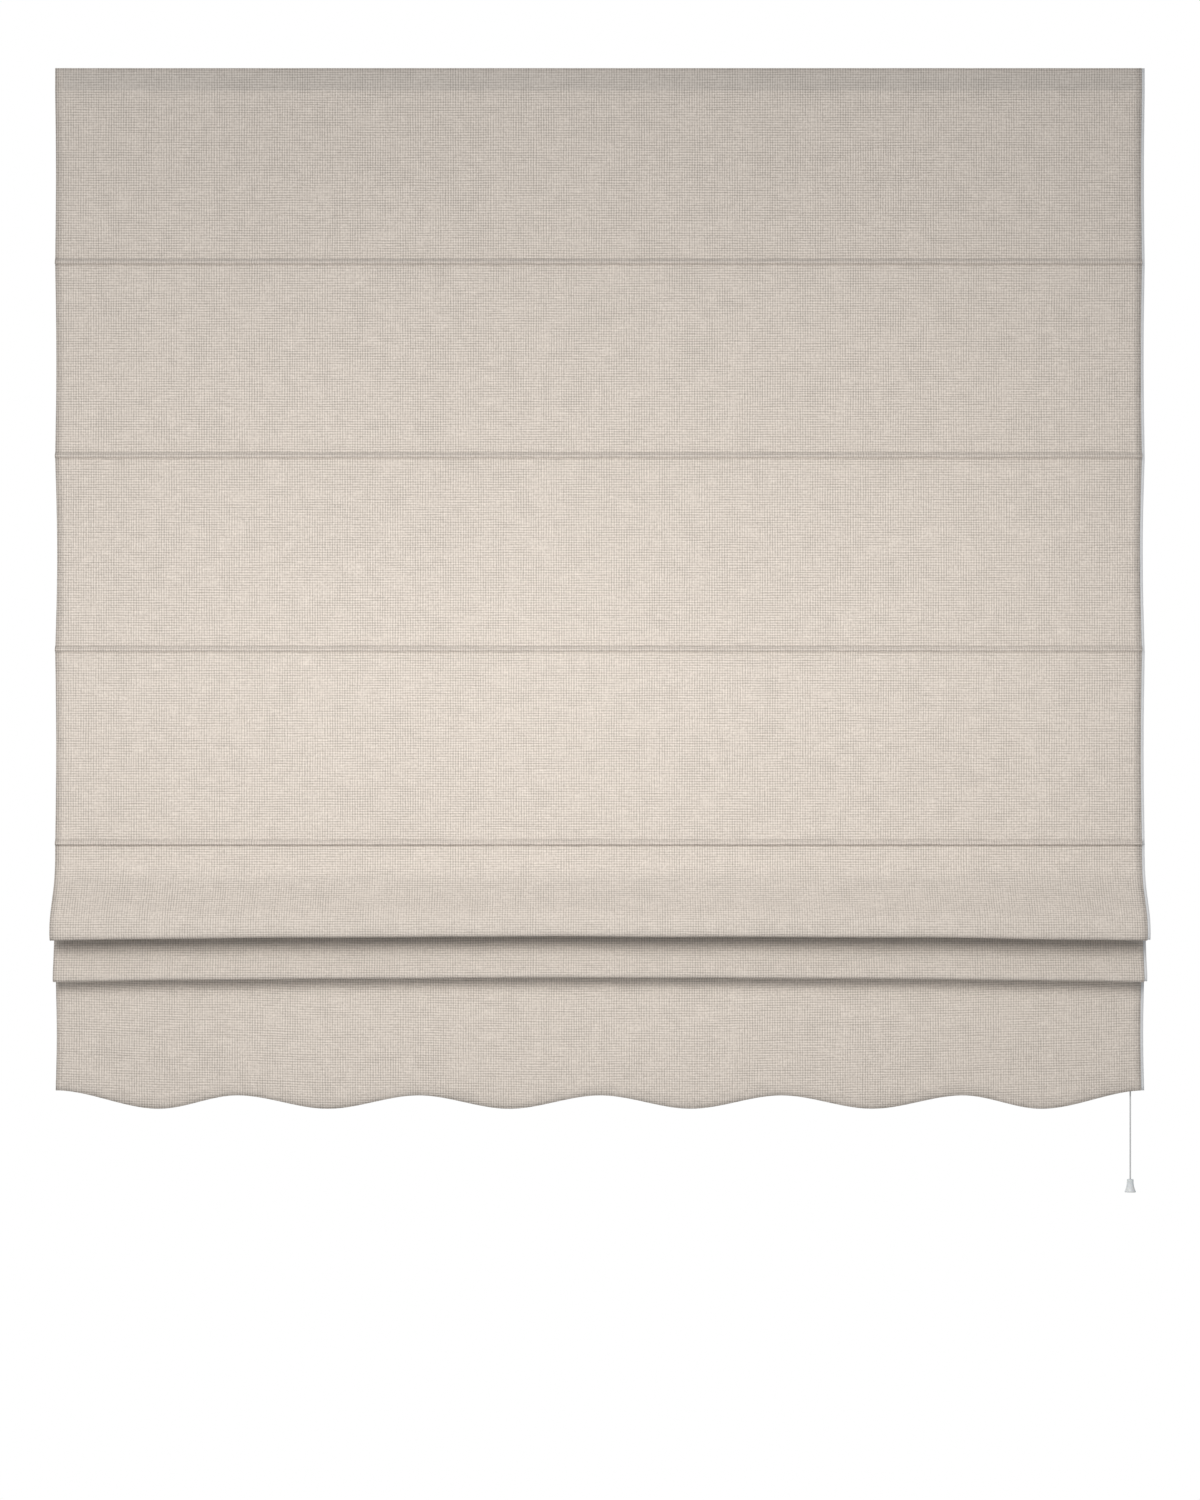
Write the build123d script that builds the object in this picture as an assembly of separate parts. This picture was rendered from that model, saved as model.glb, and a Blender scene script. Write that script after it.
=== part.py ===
from build123d import *
import math
import os

# Roman blind, hung from two wall brackets. Millimetres, +Z up, +X to the right as seen from the
# room, -Y towards the room. The origin lies on the wall, at the centre of the four screw holes.
# A drop is a distance down from the cloth's top edge; a reach is a distance forward of the
# hanging cloth's mid-plane.

# ---- Driving dimensions ----
blind_width = 1300.0
first_panel_drop = 234.0
panel_pitch = 231.0
hung_panels = 4
cloth = 0.6
hem_width = 8.0

# Hangs: distances below the last tuck above the gathered folds.
upper_fold_hang = 112.0
upper_fold_reach = 46.3
lower_fold_hang = 162.0
lower_fold_reach = 20.5
stack_tuck_hang = 38.0
flap_corner_hang = 293.0
scallop_crest_hang = 299.0
scallop_low_hang = 315.0
scallops = 6
end_scallop_shift = 15.0
corner_slope = 0.08

rail_depth = 25.4
rail_height = 26.0
rail_wall = 1.2
rail_end_gap = 3.0
t_slot_width = 8.5
t_cavity_height = 2.2
cord_slot_width = 10.0

bracket_plate = 2.0
bracket_width = 30.0
bracket_inset = 170.0
bracket_screw_pitch = 16.0
screw_hole_radius = 2.5
screw_head_room = 3.0
cam_pin_radius = 2.5
cam_plate = 1.4
cam_long = 15.0
cam_short = 7.0
lever_reach = 11.5
lever_width = 6.0
lever_thick = 1.5

tape_thick = 1.2
tape_height = 20.0

rod_radius = 1.25
rod_clear = 0.15
rod_end_gap = 5.0
bar_height = 17.0
bar_thick = 2.6
bar_end_gap = 10.0
bar_clear = 0.2

ring_radius = 7.1
ring_wire = 0.9
seat_gap = 0.3
stack_back = 5.0
cord_behind_cloth = 12.5

lift_lines = 4
lift_line_inset = 80.0
cord_radius = 0.6
cord_stack_step = 1.6
guide_roller_radius = 4.0
guide_roller_width = 8.0
roller_pin_radius = 1.0
running_clear = 0.05
held_clear = 0.02
roller_axis_height = 9.0
cheek = 1.2
cheek_gap = 0.4

# Insets: distances in from the headrail's cut end.
lock_roller_inset = 17.8
lock_start_inset = 45.0
lock_end_inset = 5.4
pawl_inset = 33.0
pawl_drop = 1.5
pawl_hub_radius = 2.6
pawl_tooth_radius = 5.4
pawl_offset = 0.8
pawl_tail = 9.0

joiner_drop = 317.0
joiner_radius = 5.5
joiner_height = 22.0
joiner_wall = 1.3
pull_cord_radius = 0.9
bell_top_drop = 1327.0
bell_height = 15.5
bell_collar_radius = 3.9
bell_rim_radius = 6.6
bell_wall = 1.1
orb_radius = 3.5
orb_height = 12.0

os.makedirs("parts", exist_ok=True)

# ---- Levels and planes worked out from the sizes above ----
half_width = blind_width / 2
rail_half_length = half_width - rail_end_gap - 2.0
rail_top = rail_height / 2
rail_bottom = -rail_height / 2
rail_back = -(bracket_plate + screw_head_room)
rail_front = rail_back - rail_depth
rail_mid = (rail_front + rail_back) / 2
bracket_offset = half_width - bracket_inset
lift_line_pitch = (blind_width - 2 * lift_line_inset) / (lift_lines - 1)
lock_roller_x = rail_half_length - lock_roller_inset
lock_start_x = rail_half_length - lock_start_inset
lock_end_x = rail_half_length - lock_end_inset
pawl_x = rail_half_length - pawl_inset
bracket_under = rail_top + 0.2
bracket_top = bracket_under + bracket_plate
cloth_top = bracket_top + seat_gap + lever_thick + 0.2

cloth_back = rail_front - 2 * tape_thick
cloth_mid = cloth_back - cloth / 2
stack_cloth_back = cloth_back + stack_back
stack_cloth_mid = stack_cloth_back - cloth / 2
cord_plane = cloth_back + cord_behind_cloth

tuck_bore = rod_radius + rod_clear
tuck_outer = tuck_bore + cloth
tuck_seat = cloth / 2 + tuck_bore + 0.1
tuck_drops = [first_panel_drop + i * panel_pitch for i in range(hung_panels)]
upper_fold_drop = tuck_drops[-1] + upper_fold_hang
lower_fold_drop = tuck_drops[-1] + lower_fold_hang
stack_tuck_drop = tuck_drops[-1] + stack_tuck_hang
flap_corner_drop = tuck_drops[-1] + flap_corner_hang
scallop_crest_drop = tuck_drops[-1] + scallop_crest_hang
scallop_low_drop = tuck_drops[-1] + scallop_low_hang
line_xs = [(i - (lift_lines - 1) / 2) * lift_line_pitch for i in range(lift_lines)]

lip_top = rail_bottom + rail_wall
t_floor = rail_top - rail_wall - t_cavity_height
main_roof = t_floor - rail_wall
roller_z = rail_bottom + roller_axis_height
wrap = guide_roller_radius + seat_gap + cord_radius
cord_slope = math.atan(cord_stack_step / lift_line_pitch)
cheek_inner = guide_roller_width / 2 + cheek_gap
cheek_outer = cheek_inner + cheek

bar_room = bar_thick + 2 * bar_clear
tunnel_top_drop = stack_tuck_drop + 21.0
tunnel_inner_height = bar_height + 2 * bar_clear
tunnel_front_mid = stack_cloth_mid - cloth - bar_room
bar_mid = stack_cloth_mid - (cloth + bar_room) / 2


def z_at(drop):
    """Height of a point that lies this far below the cloth's top edge."""
    return cloth_top - drop


def save(part, name):
    """Writes one node and prints its volume."""
    part.label = name
    export_step(part, f"parts/{name}.step")
    print(f"{name}: {part.volume:.1f} mm3")


def box(x0, x1, y0, y1, z0, z1):
    """A box given by its limits."""
    centre = ((x0 + x1) / 2, (y0 + y1) / 2, (z0 + z1) / 2)
    return Pos(*centre) * Box(abs(x1 - x0), abs(y1 - y0), abs(z1 - z0))


def along_x(section, x0, x1):
    """A section drawn in the YZ plane, carried from x0 to x1."""
    return Pos(x0, 0, 0) * extrude(section, x1 - x0)


def yz_disc(y, z, radius):
    """A disc in the YZ plane."""
    return Plane.YZ * Pos(y, z) * Circle(radius)


def yz_rect(y0, y1, z0, z1):
    """A rectangle in the YZ plane, given by its limits."""
    return Plane.YZ * Pos((y0 + y1) / 2, (z0 + z1) / 2) * Rectangle(abs(y1 - y0), abs(z1 - z0))


def cloth_path(points, radii):
    """A cloth's mid-line in the YZ plane, through (reach, drop) corners rounded by the radii."""
    corners = [(0, cloth_mid - reach, z_at(drop)) for reach, drop in points]
    return FilletPolyline(*corners, radius=radii)


def cloth_strip(path):
    """The cloth's section around its mid-line."""
    start = path @ 0
    across = (path % 0).cross(Vector(1, 0, 0)).normalized() * (cloth / 2)
    edge = Line(start - across, start + across)
    return sweep(edge, path=path)


def y_rod(x, z, radius, y0, y1):
    """A round rod along Y."""
    return Pos(x, (y0 + y1) / 2, z) * Rot(90, 0, 0) * Cylinder(radius, abs(y1 - y0))


def tuck_section(sheet_mid, drop):
    """A rod tuck's loop on the front of a cloth, as a ring in the YZ plane."""
    y, z = sheet_mid - tuck_seat, z_at(drop) + tuck_outer
    return yz_disc(y, z, tuck_outer), yz_disc(y, z, tuck_bore)


# ---- Cloth ----
def upper_fabric():
    """The hanging panels, from the top edge to the last tuck above the gathered folds."""
    last = z_at(tuck_drops[-1])
    section = yz_rect(cloth_back - cloth, cloth_back, last, cloth_top)
    bores = []
    for drop in tuck_drops:
        outer, bore = tuck_section(cloth_mid, drop)
        section += outer
        bores.append(bore)
    for bore in bores:
        section -= bore
    sheet = along_x(section, -half_width, half_width)
    for side in (-1, 1):
        edge = side * half_width
        inner = edge - side * hem_width
        sheet += box(inner, edge, cloth_back, cloth_back + cloth, last, cloth_top)
    return sheet


def upper_fold():
    """The first gathered fold: down the front, round its lowest line and back up to the stack."""
    out = upper_fold_reach
    behind = cloth_mid - (stack_cloth_mid - tuck_seat - tuck_outer) + seat_gap + cloth / 2
    points = [
        (0, tuck_drops[-1]),
        (0, tuck_drops[-1] + 36),
        (out - 1.5, upper_fold_drop - 33),
        (out, upper_fold_drop - 0.2),
        (out * 0.62, upper_fold_drop - 0.8),
        (10.5, upper_fold_drop - 20),
        (behind + 3.3, stack_tuck_drop + 26),
        (behind, stack_tuck_drop - tuck_outer),
    ]
    path = cloth_path(points, [34, 20, 6, 12, 16, 30])
    print(f"upper fold cloth length {path.length:.1f}")
    return along_x(cloth_strip(path), -half_width, half_width)


def scallop_wave():
    """The flap's bottom edge, level at each crest and low, and falling from both corners."""
    step = blind_width / scallops / 2
    last = 2 * scallops - 2
    points, tangents = [(-half_width, z_at(flap_corner_drop))], [(1, -corner_slope)]
    for i in range(last + 1):
        shift = end_scallop_shift * ((i == 0) - (i == last))
        drop = scallop_crest_drop if i % 2 else scallop_low_drop
        points.append((-half_width + (i + 1) * step + shift, z_at(drop)))
        tangents.append((1, 0))
    points.append((half_width, z_at(flap_corner_drop)))
    tangents.append((1, corner_slope))
    return Spline(*points, tangents=tangents)


def flap():
    """The flap that hangs behind the lower fold."""
    wave = scallop_wave()
    top = z_at(tunnel_top_drop + cloth)
    sides_and_top = Polyline(wave @ 1, (half_width, top), (-half_width, top), wave @ 0)
    face = make_face([wave, *sides_and_top.edges()])
    hung = Plane(origin=(0, stack_cloth_back, 0), x_dir=(1, 0, 0), z_dir=(0, -1, 0))
    return extrude(hung * face, cloth)


def lower_fabric():
    """Fifth tuck, lower fold, bar tunnel and flap, in one cloth."""
    outer, bore = tuck_section(stack_cloth_mid, stack_tuck_drop)
    front = cloth_mid - tunnel_front_mid
    tuck_reach = cloth_mid - (stack_cloth_mid - tuck_seat)
    back = cloth_mid - stack_cloth_mid
    out = lower_fold_reach
    top = tunnel_top_drop + cloth / 2
    points = [
        (tuck_reach, stack_tuck_drop - cloth / 2),
        (front + 1.9, tunnel_top_drop + 3),
        (out * 0.46, upper_fold_drop + 4),
        (out, lower_fold_drop - 10),
        (out - 1.0, lower_fold_drop - cloth / 2),
        (out * 0.5, lower_fold_drop - 1.5),
        (front, tunnel_top_drop + tunnel_inner_height + 30),
        (front, top),
        (back, top),
        (back, tunnel_top_drop + 60),
    ]
    path = cloth_path(points, [30, 60, 20, 4, 7, 60, 0.7, 0.7])
    print(f"lower fold cloth length {path.length - 60 - bar_room:.1f}")
    section = cloth_strip(path) + outer - bore
    seam = z_at(tunnel_top_drop + cloth + tunnel_inner_height)
    section += yz_rect(tunnel_front_mid, stack_cloth_mid, seam - cloth, seam)
    return along_x(section, -half_width, half_width) + flap()


def rod(sheet_mid, drop):
    """A round rod that lies in a tuck's loop."""
    disc = yz_disc(sheet_mid - tuck_seat, z_at(drop) + tuck_outer, rod_radius)
    reach = half_width - rod_end_gap
    return along_x(disc, -reach, reach)


def bottom_bar():
    """The flat bar that weights the blind, in the tunnel at the top of the flap."""
    top = z_at(tunnel_top_drop + cloth + bar_clear)
    half = bar_thick / 2
    section = yz_rect(bar_mid - half, bar_mid + half, top - bar_height, top)
    reach = half_width - bar_end_gap
    bar = along_x(section, -reach, reach)
    return fillet(bar.edges().filter_by(Axis.X), 0.8)


def ring_row(sheet_back, z):
    """One ring behind the cloth at each lift line."""
    y = sheet_back + seat_gap + ring_radius + ring_wire
    return Compound([Pos(x, y, z) * Torus(ring_radius, ring_wire) for x in line_xs])


# ---- Headrail ----
def rail_section():
    """Box section with a T-slot on top and an open cord slot below."""
    inner_front, inner_back = rail_front + rail_wall, rail_back - rail_wall
    half_slot, half_cord = t_slot_width / 2, cord_slot_width / 2
    section = yz_rect(rail_front, rail_back, rail_bottom, rail_top)
    section -= yz_rect(inner_front, inner_back, lip_top, main_roof)
    section -= yz_rect(inner_front, inner_back, t_floor, rail_top - rail_wall)
    section -= yz_rect(rail_mid - half_slot, rail_mid + half_slot, t_floor, rail_top)
    section -= yz_rect(cord_plane - half_cord, cord_plane + half_cord, rail_bottom, lip_top)
    return section


def end_cap(side):
    """A cap on the headrail's end, with a hollow plug inside the main cavity."""
    plug, gap, wall = 4.5, 0.2, 1.5
    edge = side * rail_half_length
    cap = box(edge, edge + side * 2, rail_front, rail_back, rail_bottom, rail_top)
    cap = fillet(cap.edges().filter_by(Axis.X), 1.5)
    y0, y1 = rail_front + rail_wall + gap, rail_back - rail_wall - gap
    z0, z1 = lip_top + gap, main_roof - gap
    inner = edge - side * plug
    cap += box(inner, edge, y0, y1, z0, z1)
    return cap - box(inner, edge - side * 0.5, y0 + wall, y1 - wall, z0 + wall, z1 - wall)


def bracket(x):
    """A bent steel bracket: screw plate on the wall, top plate over the headrail."""
    half = bracket_width / 2
    front = rail_mid - 8
    bottom = -(bracket_screw_pitch / 2 + 7)
    plate = box(x - half, x + half, -bracket_plate, 0, bottom, bracket_top)
    plate = fillet(plate.edges().filter_by(Axis.Y).group_by(Axis.Z)[0], 3)
    top = box(x - half, x + half, front, 0, bracket_under, bracket_top)
    top = fillet(top.edges().filter_by(Axis.Z).group_by(Axis.Y)[0], 4)
    body = plate + top
    for z in (-bracket_screw_pitch / 2, bracket_screw_pitch / 2):
        body -= y_rod(x, z, screw_hole_radius, -bracket_plate - 1, 1)
    hole = cam_pin_radius + running_clear
    return body - Pos(x, rail_mid, bracket_top) * Cylinder(hole, 4 * bracket_plate)


def bracket_cam(x):
    """The twist cam: a long plate under the T-slot's lips, its pin, and a short lever on top."""
    plate_top = rail_top - rail_wall - seat_gap
    lever_under = bracket_top + seat_gap
    here = Pos(x, rail_mid, plate_top - cam_plate)
    cam = here * Rot(0, 0, 90) * extrude(SlotOverall(cam_long, cam_short), cam_plate)
    pin_height = lever_under - plate_top + cam_plate
    cam += here * extrude(Circle(cam_pin_radius), pin_height)
    reach = lever_reach + lever_width / 2
    arm = Pos(lever_reach - reach / 2, 0) * SlotOverall(reach, lever_width)
    return cam + Pos(x, rail_mid, lever_under) * extrude(arm, lever_thick)


def tape(y0, y1):
    """A strip of hook or loop tape along the head of the blind."""
    reach = rail_half_length - 5
    return box(-reach, reach, y0, y1, rail_top - 2 - tape_height, rail_top - 2)


# ---- Lift lines ----
def guide_cradle(x):
    """A cradle on the headrail's lips: base, two cheeks for the pin and a snout in the slot."""
    axis_x = x + wrap
    x0, x1 = x - 4, axis_x + guide_roller_radius + 1.5
    half = cord_slot_width / 2 + 2.1
    base_top = lip_top + cheek
    cradle = box(x0, x1, cord_plane - half, cord_plane + half, lip_top, base_top)
    cradle += box(x - 3.6, x + 3.6, cord_plane - 4.6, cord_plane + 4.6, rail_bottom - 1.5, lip_top)
    for side in (-1, 1):
        near, far = cord_plane + side * cheek_inner, cord_plane + side * cheek_outer
        ear = box(axis_x - 3, axis_x + 3, near, far, lip_top, roller_z)
        ear += y_rod(axis_x, roller_z, 3, near, far)
        cradle += ear
    hole = roller_pin_radius + held_clear
    cradle -= y_rod(axis_x, roller_z, hole, cord_plane - 8, cord_plane + 8)
    return cradle - Pos(x, cord_plane, rail_bottom) * Cylinder(1.8, 8)


def roller(axis_x, axis_z):
    """A roller with a shallow groove, on an axis along Y."""
    half = guide_roller_width / 2
    bore = roller_pin_radius + running_clear
    profile = [
        (bore, -half),
        (guide_roller_radius, -half),
        (guide_roller_radius, -half + 1.2),
        (guide_roller_radius - 0.3, -half + 1.8),
        (guide_roller_radius - 0.3, half - 1.8),
        (guide_roller_radius, half - 1.2),
        (guide_roller_radius, half),
        (bore, half),
    ]
    face = make_face(Polyline(*profile, close=True))
    return Pos(axis_x, cord_plane, axis_z) * Rot(90, 0, 0) * turned(face)


def turned(face):
    """A solid turned about Z from a face drawn in XY as (radius, height)."""
    return revolve(Plane.XZ * face, Axis.Z)


def roller_pin(axis_x, axis_z, reach):
    """A plain pin along Y."""
    return y_rod(axis_x, axis_z, roller_pin_radius, cord_plane - reach, cord_plane + reach)


def cord_height(line_x, x):
    """Height of a cord that left its own roller at line_x, where it passes x in the headrail."""
    leave = line_x + wrap
    return roller_z + wrap / math.cos(cord_slope) + (x - leave) * math.tan(cord_slope)


lock_roller_z = cord_height(line_xs[-1], lock_roller_x) - wrap / math.cos(cord_slope)


def lift_cord(line_x):
    """One lift cord: up from its orb, over its roller, along the rail, over the lock, down."""
    at_lock = cord_height(line_x, lock_roller_x) - lock_roller_z
    radius = at_lock * math.cos(cord_slope)
    out_x = lock_roller_x + radius
    points = [
        (line_x, cord_plane, z_at(tunnel_top_drop) - ring_wire - seat_gap - 3),
        (line_x, cord_plane, cord_height(line_x, line_x)),
        (out_x, cord_plane, cord_height(line_x, out_x)),
        (out_x, cord_plane, z_at(joiner_drop) - joiner_wall - 2),
    ]
    path = FilletPolyline(*points, radius=[wrap, radius])
    profile = Plane(origin=path @ 0, z_dir=path % 0) * Circle(cord_radius)
    cord = sweep(profile, path=path)
    share = cord.volume / (math.pi * cord_radius**2 * path.length)
    print(f"lift cord at {line_x:.0f}: {path.length:.0f} long, arcs {wrap:.1f} {radius:.1f}, {share:.4f}")
    return cord


def cord_orbs():
    """The orbs that tie each lift cord to its bottom ring."""
    top = z_at(tunnel_top_drop) - ring_wire - seat_gap
    orb = Pos(0, 0, -orb_height / 2) * Cylinder(orb_radius, orb_height)
    orb = fillet(orb.edges().filter_by(GeomType.CIRCLE), 2.5)
    orb -= Pos(0, 0, -2) * Cylinder(cord_radius + seat_gap, 4.01)
    return Compound([Pos(x, cord_plane, top) * orb for x in line_xs])


# ---- Cord lock ----
def lock_body():
    """The cord lock's frame: base with the cord's way out, two cheeks and an anvil over the pawl."""
    half = cord_slot_width / 2 + 2.1
    base_top = lip_top + cheek
    out_x0, out_x1 = lock_roller_x + wrap - 1.6, lock_end_x - 1.2
    body = box(lock_start_x, lock_end_x, cord_plane - half, cord_plane + half, lip_top, base_top)
    snout = out_x0 - 1.6
    body += box(snout, lock_end_x, cord_plane - 4.6, cord_plane + 4.6, rail_bottom - 1.5, lip_top)
    body -= box(out_x0, out_x1, cord_plane - 2, cord_plane + 2, rail_bottom - 2, base_top)
    anvil_under = cord_height(line_xs[0], pawl_x + 6) + cord_radius + seat_gap
    for side in (-1, 1):
        near, far = cord_plane + side * cheek_inner, cord_plane + side * cheek_outer
        body += box(lock_start_x + 2, lock_roller_x + 4, near, far, lip_top, anvil_under)
    body += box(
        pawl_x - 6,
        pawl_x + 6,
        cord_plane - cheek_outer,
        cord_plane + cheek_outer,
        anvil_under,
        anvil_under + 0.9,
    )
    hole = roller_pin_radius + held_clear
    for x, z in ((lock_roller_x, lock_roller_z), (pawl_x, pawl_z)):
        body -= y_rod(x, z, hole, cord_plane - 8, cord_plane + 8)
    return body


pawl_z = roller_z - pawl_drop


def lock_pawl():
    """The toothed pawl: teeth below the cords, and a heavier tail that keeps them up."""
    half = guide_roller_width / 2
    hub = Circle(pawl_hub_radius)
    tail = Pos(-pawl_tail / 2, -1.1) * Rectangle(pawl_tail, 2 * pawl_hub_radius - 2.2)
    sector = Pos(pawl_offset, 0) * Circle(pawl_tooth_radius)
    keep = make_face(Polyline((0, 0), (6.5, 5.2), (6.5, 9), (-2.5, 9), close=True))
    outline = hub + tail + (sector & keep)
    for i in range(5):
        angle = math.radians(45 + 14 * i)
        tooth_x = pawl_offset + pawl_tooth_radius * math.cos(angle)
        tooth_z = pawl_tooth_radius * math.sin(angle)
        notch = Pos(tooth_x, tooth_z) * Rot(0, 0, math.degrees(angle) + 45) * Rectangle(0.7, 0.7)
        outline -= notch
    outline -= Circle(roller_pin_radius + running_clear)
    pawl = extrude(Plane.XZ * outline, half, both=True)
    return Pos(pawl_x, cord_plane, pawl_z) * pawl


# ---- Pull ----
pull_x = lock_roller_x + wrap + cord_stack_step * (lift_lines - 1) / 2


def joiner_top():
    """The joiner's cap, with a slot for the lift cords."""
    height = joiner_height * 0.55
    r, wall = joiner_radius, joiner_wall
    body = Pos(0, 0, -height / 2) * Cylinder(r, height)
    body = fillet(body.edges().filter_by(GeomType.CIRCLE).group_by(Axis.Z)[-1], 1.0)
    body -= Pos(0, 0, -wall - height / 2) * Cylinder(r - wall, height)
    slot_long = cord_stack_step * (lift_lines - 1) + 2 * (cord_radius + seat_gap)
    body -= extrude(SlotOverall(slot_long, 2 * (cord_radius + seat_gap)), wall, both=True)
    return Pos(pull_x, cord_plane, z_at(joiner_drop)) * body


def joiner_bottom():
    """The joiner's cup: a spigot inside the cap and a hole for the pull cord."""
    top_height = joiner_height * 0.55
    spigot = 4.0
    r, wall = joiner_radius, joiner_wall
    low = joiner_height - top_height
    body = Pos(0, 0, -low / 2) * Cylinder(r, low)
    body = fillet(body.edges().filter_by(GeomType.CIRCLE).group_by(Axis.Z)[0], 2.5)
    inner = r - wall - running_clear
    body += Pos(0, 0, spigot / 2) * Cylinder(inner, spigot)
    body -= Pos(0, 0, wall - low / 2 + spigot) * Cylinder(inner - 1.0, low + 2 * spigot)
    body -= Pos(0, 0, -low) * Cylinder(pull_cord_radius + seat_gap, 4 * wall)
    return Pos(pull_x, cord_plane, z_at(joiner_drop) - top_height) * body


pull_top = z_at(joiner_drop + joiner_height) + joiner_wall + 2
knot_top = z_at(bell_top_drop) - 3.2


def pull_cord():
    """The single pull cord, hanging straight from the joiner to the knot in the bell."""
    path = Line((pull_x, cord_plane, pull_top), (pull_x, cord_plane, knot_top))
    profile = Plane(origin=path @ 0, z_dir=path % 0) * Circle(pull_cord_radius)
    cord = sweep(profile, path=path)
    share = cord.volume / (math.pi * pull_cord_radius**2 * path.length)
    print(f"pull cord {path.length:.0f} long, straight, {share:.4f}")
    return cord


def cord_bell():
    """The bell-shaped pull: a short collar that flares to a rim, hollow below."""
    neck, rim, wall, high = bell_collar_radius, bell_rim_radius, bell_wall, bell_height
    hole = pull_cord_radius + seat_gap
    outside = [
        Line((hole, 0), (neck - 0.5, 0)),
        ThreePointArc((neck - 0.5, 0), (neck - 0.15, -0.15), (neck, -0.5)),
        Line((neck, -0.5), (neck, -3.4)),
        ThreePointArc((neck, -3.4), (neck + 0.62, -8.2), (rim - 0.5, -high + 1.8)),
        Line((rim - 0.5, -high + 1.8), (rim, -high + 1.4)),
        Line((rim, -high + 1.4), (rim, -high)),
        Line((rim, -high), (rim - wall, -high)),
        ThreePointArc((rim - wall, -high), (neck + 0.62 - wall, -8.4), (neck - wall, -3.4)),
        Line((neck - wall, -3.4), (neck - wall, -2)),
        Line((neck - wall, -2), (hole, -2)),
        Line((hole, -2), (hole, 0)),
    ]
    return Pos(pull_x, cord_plane, z_at(bell_top_drop)) * turned(make_face(outside))


def bell_knot():
    """The knot under the bell's collar, where the cord ends."""
    knot = Sphere(2.2) & Pos(0, 0, -1) * Box(6, 6, 5)
    return Pos(pull_x, cord_plane, knot_top - 1.5) * knot


# ---- Writing the nodes ----
save(along_x(rail_section(), -rail_half_length, rail_half_length), "headrail")
save(tape(rail_front - tape_thick, rail_front), "hook_tape")
save(tape(cloth_back, cloth_back + tape_thick), "loop_tape")
for name, side in (("left", -1), ("right", 1)):
    save(end_cap(side), f"end_cap_{name}")
    save(bracket(side * bracket_offset), f"bracket_{name}")
    save(bracket_cam(side * bracket_offset), f"bracket_cam_{name}")

save(upper_fabric(), "upper_fabric")
save(upper_fold(), "upper_fold_fabric")
save(lower_fabric(), "lower_fabric")
for i, drop in enumerate(tuck_drops, start=1):
    save(rod(cloth_mid, drop), f"rod_{i}")
    save(ring_row(cloth_back, z_at(drop) + tuck_outer), f"rings_{i}")
save(rod(stack_cloth_mid, stack_tuck_drop), f"rod_{hung_panels + 1}")
save(ring_row(stack_cloth_back, z_at(stack_tuck_drop) + tuck_outer), f"rings_{hung_panels + 1}")
save(ring_row(stack_cloth_back, z_at(tunnel_top_drop)), f"rings_{hung_panels + 2}")
save(bottom_bar(), "bottom_bar")
save(cord_orbs(), "cord_orbs")

for i, x in enumerate(line_xs, start=1):
    save(guide_cradle(x), f"guide_cradle_{i}")
    save(roller(x + wrap, roller_z), f"guide_roller_{i}")
    save(roller_pin(x + wrap, roller_z, cheek_outer), f"guide_pin_{i}")
    save(lift_cord(x), f"lift_cord_{i}")

save(lock_body(), "lock_body")
save(roller(lock_roller_x, lock_roller_z), "lock_roller")
save(roller_pin(lock_roller_x, lock_roller_z, cheek_outer), "lock_roller_pin")
save(lock_pawl(), "lock_pawl")
save(roller_pin(pawl_x, pawl_z, cheek_outer), "lock_pawl_pin")

save(joiner_top(), "joiner_top")
save(joiner_bottom(), "joiner_bottom")
save(pull_cord(), "pull_cord")
save(cord_bell(), "cord_bell")
save(bell_knot(), "bell_knot")
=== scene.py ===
import math

import bpy
import numpy as np
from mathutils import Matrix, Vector, noise


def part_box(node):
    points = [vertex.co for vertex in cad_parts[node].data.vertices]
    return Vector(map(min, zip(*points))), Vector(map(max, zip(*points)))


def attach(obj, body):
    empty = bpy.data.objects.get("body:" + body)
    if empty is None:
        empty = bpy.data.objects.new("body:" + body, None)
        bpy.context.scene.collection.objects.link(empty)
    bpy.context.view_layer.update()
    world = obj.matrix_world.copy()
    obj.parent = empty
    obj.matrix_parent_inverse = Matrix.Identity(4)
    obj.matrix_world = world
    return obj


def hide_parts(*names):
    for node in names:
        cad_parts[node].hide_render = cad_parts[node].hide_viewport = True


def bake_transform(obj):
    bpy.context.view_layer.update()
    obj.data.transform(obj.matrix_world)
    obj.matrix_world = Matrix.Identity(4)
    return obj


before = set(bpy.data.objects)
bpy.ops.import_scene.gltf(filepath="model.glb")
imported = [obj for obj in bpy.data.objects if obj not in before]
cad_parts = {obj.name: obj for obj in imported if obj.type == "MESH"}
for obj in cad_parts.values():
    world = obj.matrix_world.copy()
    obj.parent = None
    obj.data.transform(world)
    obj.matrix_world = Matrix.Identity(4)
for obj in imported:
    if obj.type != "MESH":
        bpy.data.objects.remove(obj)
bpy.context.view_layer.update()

# Roman blind: a linen cloth with rod tucks, two gathered folds and a scalloped flap, on a headrail.
# Metres, +Z up, +X to the right as seen from the room, -Y towards the room.
# A drop is a distance in millimetres down from the cloth's top edge; a reach is a distance in
# millimetres forward of the hanging cloth's mid-plane.
MM = 0.001


# ---- Places, read from the frame ----
def middle(node_name):
    """Centre of a node's box."""
    low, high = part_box(node_name)
    return (Vector(low) + Vector(high)) / 2


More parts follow.
